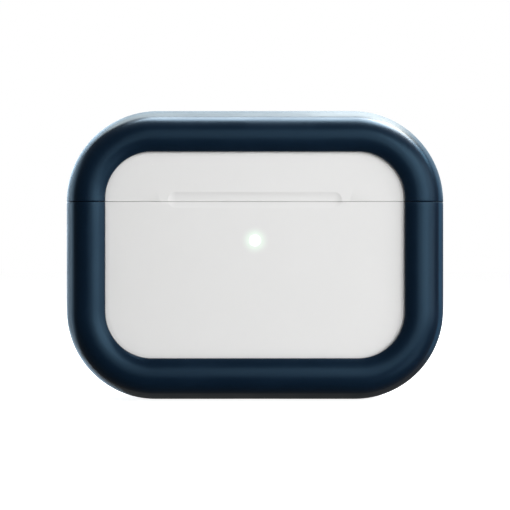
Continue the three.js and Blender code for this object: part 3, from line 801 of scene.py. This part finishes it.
def socket_screw(name, x, z, head_y, head_radius, tip_y, shank_radius):
    """A low round head with a hexagon socket, and a shank behind it."""
    profile = [
        (head_y, head_radius * 0.75), (head_y + 0.1, head_radius * 0.93), (head_y + 0.28, head_radius),
        (head_y + 0.62, head_radius), (head_y + 0.7, head_radius * 0.96), (head_y + 0.71, shank_radius),
        (tip_y - 0.2, shank_radius), (tip_y, shank_radius * 0.7),
    ]
    screw = turned(name, profile, "y", (x, 0, z), 32)
    return soften(carve(screw, rod("socket", head_y - 1, head_y + 0.35, 0.4, "y", (x, 0, z), 6)))


KNUCKLE_RADIUS, KNUCKLE_ROOM, BORE_RADIUS, PIN_RADIUS = 1.5, 1.75, 0.66, 0.55
HINGE_SCREW_X, HINGE_SCREW_Z = 11, {"base": 31.2, "lid": 37.2}
HINGE_SCREW = {"head_y": 7.4, "head_radius": 1.0, "tip_y": 10.4, "shank_radius": 0.5}
STEEL = metal("brushed_steel", (0.56, 0.56, 0.57), 0.18, (0.03, 1.0, 1.0))
WIRE_STEEL = metal("spring_steel", (0.32, 0.32, 0.33), 0.28, (0.5, 1.0, 1.0))
outer_end, middle_end, play = LEAF_HIGH[0], 7.0, 0.15
middle_span, middle_room = (-middle_end, middle_end), (-middle_end - play, middle_end + play)
outer_spans = [(middle_room[1], outer_end), (-outer_end, middle_room[0])]
cleared = [(middle_end, outer_end + 1), (-outer_end - 1, -middle_end)]
base_leaf = hinge_leaf("hinge_base_leaf", LEAF_LOW[2], SEAM_Z - 0.3, outer_spans, [middle_room])
put_in_place(base_leaf, "base", "hinge_steel", STEEL, "hinge_leaf_base")
lid_leaf = hinge_leaf("hinge_lid_leaf", SEAM_Z + 0.3, LEAF_HIGH[2], [middle_span], cleared)
soften(carve(lid_leaf, barrel("spring_room", 1 - middle_end, middle_end - 1, 1.02)))
put_in_place(lid_leaf, "lid", "hinge_steel", STEEL, "hinge_leaf_lid")
pin = soften(barrel("hinge_pin_rod", -outer_end + 0.1, outer_end - 0.1, PIN_RADIUS, 0.12))
put_in_place(pin, "base", "hinge_steel", STEEL, "hinge_pin")
spring = {"steps_per_turn": 28, "turns": 7.0, "inner_radius": 0.78, "outer_radius": 0.78}
for label, side in LEFT_TO_RIGHT:
    coil = shape_by_nodes(
        f"torsion_spring_{label}", spiral_wire, WIRE_STEEL, **spring, length=5.2, wire_radius=0.14
    )
    moved(coil, "Y", side * 90, (side * 0.4, HINGE[1], HINGE[2]))
    put_in_place(coil, "base", "spring_steel", WIRE_STEEL, f"hinge_spring_{label}")
    for body, height in HINGE_SCREW_Z.items():
        name = f"hinge_screw_{body}_{label}"
        screw = socket_screw(f"{name}_turned", side * HINGE_SCREW_X, height, **HINGE_SCREW)
        put_in_place(screw, body, "hinge_steel", STEEL, name)

# ------------------------------------------------------------------ setup button
# A round white button in the back, slightly dished, held in by its flange. Its stem presses a
# small metal-topped switch on the main board.
BUTTON_FACE = BUTTON_HIGH[1]
STEM_RADIUS, FLANGE_RADIUS, FLANGE_FRONT, FLANGE_BACK = 1.2, 3.5, 8.9, 9.3
button_profile = [
    (BUTTON_LOW[1], 0.9), (BUTTON_LOW[1] + 0.3, STEM_RADIUS), (FLANGE_FRONT, STEM_RADIUS),
    (FLANGE_FRONT + 0.01, FLANGE_RADIUS - 0.08), (FLANGE_FRONT + 0.07, FLANGE_RADIUS),
    (FLANGE_BACK - 0.07, FLANGE_RADIUS), (FLANGE_BACK, FLANGE_RADIUS - 0.08),
    (FLANGE_BACK + 0.01, BUTTON_RADIUS),
]
round_over = 0.14
for turn in np.linspace(0, math.pi / 2, 5):
    level = BUTTON_FACE - round_over * (1 - math.sin(turn))
    button_profile.append((level, BUTTON_RADIUS - round_over * (1 - math.cos(turn))))
for reach in np.linspace(0.92, 0.04, 9):
    button_profile.append((BUTTON_FACE - 0.1 * (1 - reach**2), BUTTON_RADIUS * reach))
button = soften(turned("setup_button_cap", button_profile, "y", BUTTON_PLACE, 64))
put_in_place(button, "setup_button", "white_shell", WHITE, "setup_button")

switch_low, switch_high = extent("button_switch")
can = slab("switch_can", switch_low, (switch_high[0], 5.6, switch_high[2]), "y", 0.35, 0.12)
plunger_profile = [(5.3, 0.9), (6.1, 0.9), (6.24, 0.82), (6.3, 0.65)]
plunger = turned("plunger", plunger_profile, "y", BUTTON_PLACE, 32)
corners = [(x, z) for x in (-1.5, 1.5) for z in (-1.5, 1.5)]
dimples = [rod("dimple", 5.5, 6.0, 0.24, "y", (x, 0, BUTTON_Z + z), 16) for x, z in corners]
carve(can, plunger, operation="UNION")
put_in_place(soften(carve(can, *dimples)), "base", "hinge_steel", STEEL, "button_switch")

# ------------------------------------------------------------------ charging port
# A drawn steel shell with a rolled mouth, and in it a moulded tongue with a row of gold contacts on
# each face. Their small board is made with the other boards.
def black_moulding():
    colors = (0.010, 0.010, 0.011), (0.020, 0.020, 0.021)
    grain = {"size": 0.08, "wave": 0.2, "depth": 0.008, "strength": 0.6}
    return grained("black_moulding", 2.5, (0.42, 0.6), colors, **grain)


GOLD = metal("gold_plate", (0.86, 0.62, 0.27), 0.16, (1.0, 1.0, 0.4), 0.002)
BLACK = black_moulding()
DRAWN_STEEL = metal("drawn_steel", (0.50, 0.50, 0.51), 0.2, (1.0, 1.0, 0.04))
inside = [(-0.3, 9.3), (-0.3, 3.0), (-0.27, 2.75), (-0.15, 2.62), (0.02, 2.6), (0.06, 2.72)]
outside = [(0.02, 2.85), (0.0, 3.0), (0.0, 9.5), (-0.1, 9.6)]
port_rings = [
    [(x, y, level) for x, y in slot_outline(PORT_HIGH[0] + grow, PORT_HIGH[1] + grow)]
    for grow, level in inside + outside
]
port_shell = soften(stack("port_shell_drawn", port_rings))
put_in_place(port_shell, "base", "port_steel", DRAWN_STEEL, "usb_port_shell")
flat_part("port_tongue_moulding", "usb_port_tongue", "y", 0.3, 0.1, "base", "black_plastic", BLACK)


def contact_rows(tree, given):
    """A row of flat contacts along X, and a second row behind it."""
    strip = node(tree, "GeometryNodeMeshCube", {"Size": (0.25, 0.05, 4.6)})
    line = {"Count": given["Contacts"], "Start Location": (-2.75, 0, 0), "Offset": (0.5, 0, 0)}
    row = node(tree, "GeometryNodeMeshLine", line)
    strips = {"Points": row.outputs[0], "Instance": strip.outputs[0]}
    placed = node(tree, "GeometryNodeInstanceOnPoints", strips)
    shift = node(tree, "ShaderNodeCombineXYZ", {"Y": given["Row distance"]})
    behind = {"Geometry": placed.outputs[0], "Translation": shift.outputs[0]}
    second = node(tree, "GeometryNodeTransform", behind)
    both = node(tree, "GeometryNodeJoinGeometry")
    tree.links.new(second.outputs[0], both.inputs[0])
    tree.links.new(placed.outputs[0], both.inputs[0])
    return both.outputs[0]


contacts = shape_by_nodes("port_contacts", contact_rows, GOLD, contacts=12, row_distance=0.72)
moved(contacts, "Z", 0, (0, -0.36, 6.2))
put_in_place(contacts, "base", "gold_contact", GOLD)

# ------------------------------------------------------------------ earbud tray and lid liner
# Two glossy white mouldings. The tray closes the base, with a bowl for each earbud's head and a
# tube for its stem, and the liner gives the lid a dome over each head. All their rims are rounded.
ROOM_X, ROOM_Y, ROOM_CORNER = CASE_HALF_X - WALL - 0.15, CASE_HALF_Y - WALL - 0.15, 3.9
CUP_WALL, MOUTH_FLARE = 1.0, 0.4
TRAY_UNDERSIDE, LINER_TOP = 32.6, 35.6
STEM = {"x": 9.2, "y": -1.8, "radius": 3.4, "wall": 0.8}
BOWL = {"place": (15.2, -0.6, 35.5), "radii": (9.2, 6.6, 8.5), "rim": 33.9, "way": -1}
DOME = {"place": (15.2, -0.6, 34.4), "radii": (9.4, 6.9, 9.8), "rim": 34.4, "way": 1}


def cupped(name, side, form, grow, until, flare=0.0):
    """An ellipsoid from its tip to a level near its rim, grown by a wall, with a flared mouth."""
    (x, y, z), way = form["place"], form["way"]
    radii = [radius + grow for radius in form["radii"]]
    end = math.acos((way * (until - z) + flare) / radii[2])
    steps = [(z + way * radii[2] * math.cos(t), math.sin(t), 0) for t in np.linspace(0.02, end, 28)]
    if flare:
        widest = steps[-1][1]
        for turn in np.linspace(0, math.pi / 2, 7)[1:]:
            level = until + way * flare * (1 - math.sin(turn))
            steps.append((level, widest, flare * (1 - math.cos(turn))))
        steps.append((until - way, widest, flare))
    rings = []
    for level, scale, out in steps:
        angles = np.linspace(0, 2 * math.pi, 72, endpoint=False)
        xs = side * x + (radii[0] * scale + out) * np.cos(angles)
        ys = y + (radii[1] * scale + out) * np.sin(angles)
        rings.append([(px, py, level) for px, py in zip(xs, ys)])
    return stack(name, rings)


def stem_tube(name, side, low_z, high_z, radius):
    return rod(name, low_z, high_z, radius, "z", (side * STEM["x"], STEM["y"], 0), 64)


def cover_plate(name, half_x, low_z, high_z):
    return slab(name, (-half_x, -ROOM_Y, low_z), (half_x, ROOM_Y, high_z), "z", ROOM_CORNER, 0.2)


BARREL_ROOM = (-LEAF_HIGH[0] - 0.3, LEAF_HIGH[0] + 0.3, KNUCKLE_ROOM)
tray = cover_plate("tray_moulding", ROOM_X, TRAY_UNDERSIDE, BOWL["rim"])
for label, side in LEFT_TO_RIGHT:
    outer_tube = stem_tube("tube", side, 12, TRAY_UNDERSIDE + 0.5, STEM["radius"] + STEM["wall"])
    carve(tray, cupped("bowl", side, BOWL, CUP_WALL, TRAY_UNDERSIDE + 0.6), outer_tube, operation="UNION")
for label, side in LEFT_TO_RIGHT:
    carve(tray, cupped("hollow", side, BOWL, 0, BOWL["rim"], MOUTH_FLARE))
    carve(tray, stem_tube("well", side, 0, 50, STEM["radius"]))
carve(tray, barrel("barrel_room", *BARREL_ROOM))
put_in_place(soften(tray, 0.15), "base", "white_shell", WHITE, "earbud_tray")

liner = cover_plate("liner_moulding", ROOM_X - 0.1, DOME["rim"], LINER_TOP)
for label, side in LEFT_TO_RIGHT:
    carve(liner, cupped("dome", side, DOME, CUP_WALL, LINER_TOP - 0.6), operation="UNION")
for label, side in LEFT_TO_RIGHT:
    carve(liner, cupped("hollow", side, DOME, 0, DOME["rim"], MOUTH_FLARE))
carve(liner, barrel("barrel_room", *BARREL_ROOM))
put_in_place(soften(liner, 0.15), "lid", "white_shell", WHITE, "lid_liner")

# ------------------------------------------------------------------ charging contacts
# Two sprung gold pins stand in a black carrier at the foot of each well. A flat amber circuit
# under the wells joins both carriers.
def amber_flex():
    material, tree, shader = start_material("amber_flex")
    wave = {"Vector": own_place(tree), "Scale": 320.0, "Distortion": 0.3}
    bands = node(tree, "ShaderNodeTexWave", wave, bands_direction="Y")
    tracks = between(tree, bands.outputs[1], 0.0, 1.0, 0.45, 0.6)
    color = tints(tree, tracks, (0.30, 0.11, 0.018), (0.52, 0.21, 0.045))
    tree.links.new(color, shader.inputs["Base Color"])
    make_patchy(tree, shader, 3.0, (0.3, 0.42))
    raise_surface(tree, shader, tracks, 0.02, 0.6)
    return material


CARRIER_PROFILE = [
    (12.2, 3.15), (12.35, 3.3), (13.75, 3.3), (13.93, 3.22), (14.0, 3.05), (14.0, 2.6), (13.85, 2.5)
]
PIN_PROFILE = [
    (12.6, 0.37), (12.68, 0.45), (13.8, 0.45), (13.9, 0.38),
    (14.72, 0.38), (14.88, 0.34), (14.97, 0.22), (15.0, 0.06),
]
for label, side in LEFT_TO_RIGHT:
    place = (side * STEM["x"], STEM["y"], 0)
    carrier = turned(f"contact_carrier_{label}_moulding", CARRIER_PROFILE, "z", place, 64)
    for position, away in (("inner", -1), ("outer", 1)):
        pin_place = (side * (STEM["x"] + away * 1.3), STEM["y"], 0)
        carve(carrier, rod("pin_hole", 10, 16, 0.56, "z", pin_place, 32))
        name = f"contact_pin_{label}_{position}"
        pin = turned(f"{name}_plated", PIN_PROFILE, "z", pin_place, 32)
        put_in_place(soften(pin), name, "gold_contact", GOLD, name)
    put_in_place(soften(carrier), "base", "black_plastic", BLACK, f"contact_carrier_{label}")
flat_part("contact_flex_film", "contact_flex", "z", 1.6, 0.06, "base", "flex_circuit", amber_flex())

# ------------------------------------------------------------------ magnets
# Nickel-plated discs pressed into the tray and the liner, and one small block that tells the sensor
# that the lid is shut. Their edges are ground to a small chamfer.
NICKEL = metal("nickel_plate", (0.60, 0.58, 0.54), 0.2, (1.0, 1.0, 1.0), 0.003)
MAGNETS = (("base_magnet", "base", -6.5), ("earbud_magnet", "base", 5.4), ("lid_magnet", "lid", -6.5))
magnet_radius, ground = 1.2, 0.12
for kind, body, y in MAGNETS:
    for label, side in LEFT_TO_RIGHT:
        name = f"{kind}_{label}"
        bottom, top = (corner[2] for corner in extent(name))
        lower = [(bottom, magnet_radius - ground), (bottom + ground, magnet_radius)]
        upper = [(top - ground, magnet_radius), (top, magnet_radius - ground)]
        disc = turned(f"{name}_disc", lower + upper, "z", (side * 24.5, y, 0), 40)
        put_in_place(soften(disc), body, "magnet_plate", NICKEL, name)
flat_part("sensor_magnet_block", "sensor_magnet", "z", 0.2, 0.1, "lid", "magnet_plate", NICKEL)

# ------------------------------------------------------------------ batteries
# Two lithium pouches in embossed aluminium foil, each with its sealed edge along the top and two
# nickel tabs that come out of it.
def pouch_foil():
    material, tree, shader = start_material("pouch_foil", Metallic=0.85)
    make_patchy(tree, shader, 4.0, (0.3, 0.42), ((0.48, 0.49, 0.50), (0.56, 0.57, 0.58)))
    place = own_place(tree)
    dots = node(tree, "ShaderNodeTexVoronoi", {"Vector": place, "Scale": 2600.0, "Randomness": 0.25})
    height = combined(tree, "ADD", dots.outputs["Distance"], noise(tree, place, 260.0, 3.0))
    raise_surface(tree, shader, height, 0.06, 0.6)
    return material


FOIL = pouch_foil()
for label, side in LEFT_TO_RIGHT:
    cell_low, (right, back, top) = extent(f"battery_{label}")
    pouch = slab(f"battery_{label}_pouch", cell_low, (right, back, top - 1.1), "y", 1.7, 1.5, 7)
    seal_low, seal_high = (cell_low[0] + 0.4, -0.65, top - 1.5), (right - 0.4, -0.15, top - 0.25)
    seal = slab("seal", seal_low, seal_high, "y", 0.3, 0.08)
    tabs = [
        slab("tab", (x - 0.9, -0.5, top - 0.6), (x + 0.9, -0.3, top), "y", 0.1, 0.03)
        for x in (side * 20 - 3, side * 20 + 3)
    ]
    carve(pouch, seal, *tabs, operation="UNION")
    put_in_place(soften(pouch), "base", "battery_foil", FOIL, f"battery_{label}")

# ------------------------------------------------------------------ charging coil
# A flat spiral of enamelled copper wire, glued to a ring of pressed ferrite. Both lie inside the
# back of the case, round the stem of the setup button.
def enamelled_copper():
    material = metal("enamelled_copper", (0.72, 0.30, 0.13), 0.24, (1.0, 0.3, 1.0), 0.002)
    shader = material.node_tree.nodes["Principled BSDF"]
    shader.inputs["Coat Weight"].default_value = 0.6
    shader.inputs["Coat Roughness"].default_value = 0.1
    return material


def pressed_ferrite():
    colors = (0.018, 0.018, 0.02), (0.03, 0.03, 0.033)
    grain = {"size": 0.12, "wave": 0.6, "depth": 0.03, "strength": 0.8}
    return grained("pressed_ferrite", 2.0, (0.5, 0.7), colors, **grain)


COPPER = enamelled_copper()
FERRITE = pressed_ferrite()
winding = {"steps_per_turn": 56, "turns": 9.6, "inner_radius": 4.62, "outer_radius": 8.68}
spiral = shape_by_nodes("coil_winding", spiral_wire, COPPER, **winding, length=0.0, wire_radius=0.2)
moved(spiral, "X", 90, (0, 8.8, BUTTON_Z))
put_in_place(spiral, "base", "copper_wire", COPPER, "charging_coil")
ferrite = turned("ferrite_ring", [(7.8, 9.1), (7.9, 9.2), (8.3, 9.2), (8.4, 9.1)], "y", BUTTON_PLACE, 72)
carve(ferrite, rod("middle", 7, 9, 3.9, "y", BUTTON_PLACE))
put_in_place(soften(ferrite, 0.06, 2), "base", "ferrite", FERRITE, "coil_ferrite")

# ------------------------------------------------------------------ circuit boards
# Green laminate with etched tracks under the solder mask. The main board carries the charge
# controller, a tinned shield can, the inductor and rows of small parts, and two screws hold it.
def board_mask(name, turn):
    """Solder mask over etched tracks, which lie in the plane that the turn gives."""
    material, tree, shader = start_material(name)
    laid = node(tree, "ShaderNodeMapping", {"Vector": own_place(tree), "Rotation": turn})
    spacing = {"Scale": 300.0, "Brick Width": 1.3, "Row Height": 0.27}
    etching = {"Vector": laid.outputs[0], "Mortar Size": 0.035, "Mortar Smooth": 0.4, **spacing}
    tracks = node(tree, "ShaderNodeTexBrick", etching).outputs["Fac"]
    color = tints(tree, tracks, (0.006, 0.045, 0.026), (0.018, 0.095, 0.05))
    tree.links.new(color, shader.inputs["Base Color"])
    make_patchy(tree, shader, 3.0, (0.28, 0.42))
    raise_surface(tree, shader, tracks, 0.02, 0.6)
    return material


UPRIGHT_BOARD = board_mask("upright_board_mask", (math.radians(-90), 0, 0))
FLAT_BOARD = board_mask("flat_board_mask", (0, 0, 0))
BOARD_SCREW_X, BOARD_SCREW_Z = 11, 8.2
BOARD_SCREW_PROFILE = [
    (2.5, 0.8), (2.56, 1.05), (2.7, 1.2), (3.24, 1.2), (3.3, 1.12), (3.31, 0.55), (7.15, 0.55), (7.4, 0.35)
]
board = slab("main_board_laminate", *extent("main_board"), "y", 0.8, 0.05, 2)
for label, side in LEFT_TO_RIGHT:
    x, z = side * BOARD_SCREW_X, BOARD_SCREW_Z
    carve(board, rod("screw_hole", 2, 6, 0.75, "y", (x, 0, z), 32))
    head = turned(f"board_screw_{label}_turned", BOARD_SCREW_PROFILE, "y", (x, 0, z), 40)
    cross = [
        slab("cross", (x - a, 2.0, z - b), (x + a, 2.85, z + b), "y", 0.08, 0.02, 2)
        for a, b in ((0.62, 0.13), (0.13, 0.62))
    ]
    put_in_place(soften(carve(head, *cross)), "base", "hinge_steel", STEEL, f"board_screw_{label}")
put_in_place(soften(board), "base", "circuit_board", UPRIGHT_BOARD, "main_board")

chip_low, chip_high = extent("charge_controller")
chip = slab("controller_package", chip_low, chip_high, "y", 0.12, 0.06)
dot_place = (chip_low[0] + 0.8, 0, chip_high[2] - 0.8)
carve(chip, rod("pin_one_mark", chip_high[1] - 0.06, 6, 0.3, "y", dot_place, 24))
put_in_place(soften(chip), "base", "black_plastic", BLACK, "charge_controller")
can_low, can_high = extent("shield_can")
tin = slab("shield_can_drawn", can_low, can_high, "y", 0.6, 0.25)
for row in range(3):
    height = can_high[2] - 1.4 - 1.2 * row
    columns = np.linspace(can_low[0] + 1.3, can_high[0] - 1.3, 4)
    carve(tin, *[rod("vent", 5.3, 6, 0.28, "y", (x, 0, height), 16) for x in columns])
put_in_place(soften(tin), "base", "hinge_steel", STEEL, "shield_can")
flat_part("inductor_core", "power_inductor", "y", 0.7, 0.2, "base", "ferrite", FERRITE)


def part_grid(tree, given):
    """Small ceramic parts in rows on the board. A seed leaves some places empty."""
    part = node(tree, "GeometryNodeMeshCube", {"Size": (0.55, 0.35, 0.3)})
    counts = {"Vertices X": given["Columns"], "Vertices Y": given["Rows"]}
    lattice = {"Size X": given["Width"], "Size Y": given["Height"], **counts}
    grid = node(tree, "GeometryNodeMeshGrid", lattice)
    stood_up = {"Geometry": grid.outputs[0], "Rotation": (math.radians(90), 0, 0)}
    upright = node(tree, "GeometryNodeTransform", stood_up)
    chance = {"Probability": 0.6, "Seed": given["Seed"]}
    chosen = node(tree, "FunctionNodeRandomValue", chance, data_type="BOOLEAN")
    picked = next(out for out in chosen.outputs if out.enabled)
    parts = {"Points": upright.outputs[0], "Instance": part.outputs[0], "Selection": picked}
    return node(tree, "GeometryNodeInstanceOnPoints", parts).outputs[0]


def ceramic():
    colors = (0.30, 0.22, 0.15), (0.45, 0.36, 0.26)
    grain = {"size": 0.06, "wave": 0.3, "depth": 0.01, "strength": 0.5}
    return grained("part_ceramic", 0.7, (0.35, 0.55), colors, **grain)


CERAMIC = ceramic()
small_parts = shape_by_nodes(
    "board_parts", part_grid, CERAMIC, width=6.0, height=4.8, columns=6, rows=7, seed=4
)
moved(small_parts, "Z", 0, (0.8, 4.36, 16.6))
put_in_place(small_parts, "base", "circuit_board", CERAMIC)

board_finish = ("base", "circuit_board")
flat_part("port_board_laminate", "port_board", "z", 0.5, 0.05, *board_finish, FLAT_BOARD, 2)
flat_part("light_board_laminate", "led_board", "y", 0.4, 0.05, *board_finish, UPRIGHT_BOARD, 2)
flat_part("lid_sensor_package", "lid_sensor", "y", 0.08, 0.05, "base", "black_plastic", BLACK)
flat_part("status_diode", "status_led", "y", 0.1, 0.06, "base", "light_pipe", LENS)

# ------------------------------------------------------------------ adhesive strip
# A thin strip of double-sided foam tape with round corners. It lies between the top of the lid and
# the upper half of the bumper, and holds them together.
def foam_tape():
    colors = (0.42, 0.42, 0.41), (0.52, 0.52, 0.50)
    grain = {"size": 0.15, "wave": 0.8, "depth": 0.05, "strength": 0.8}
    return grained("foam_tape", 2.0, (0.6, 0.8), colors, **grain)


flat_part("bumper_tape_strip", "bumper_tape", "z", 1.0, 0.06, "lid", "adhesive_tape", foam_tape())
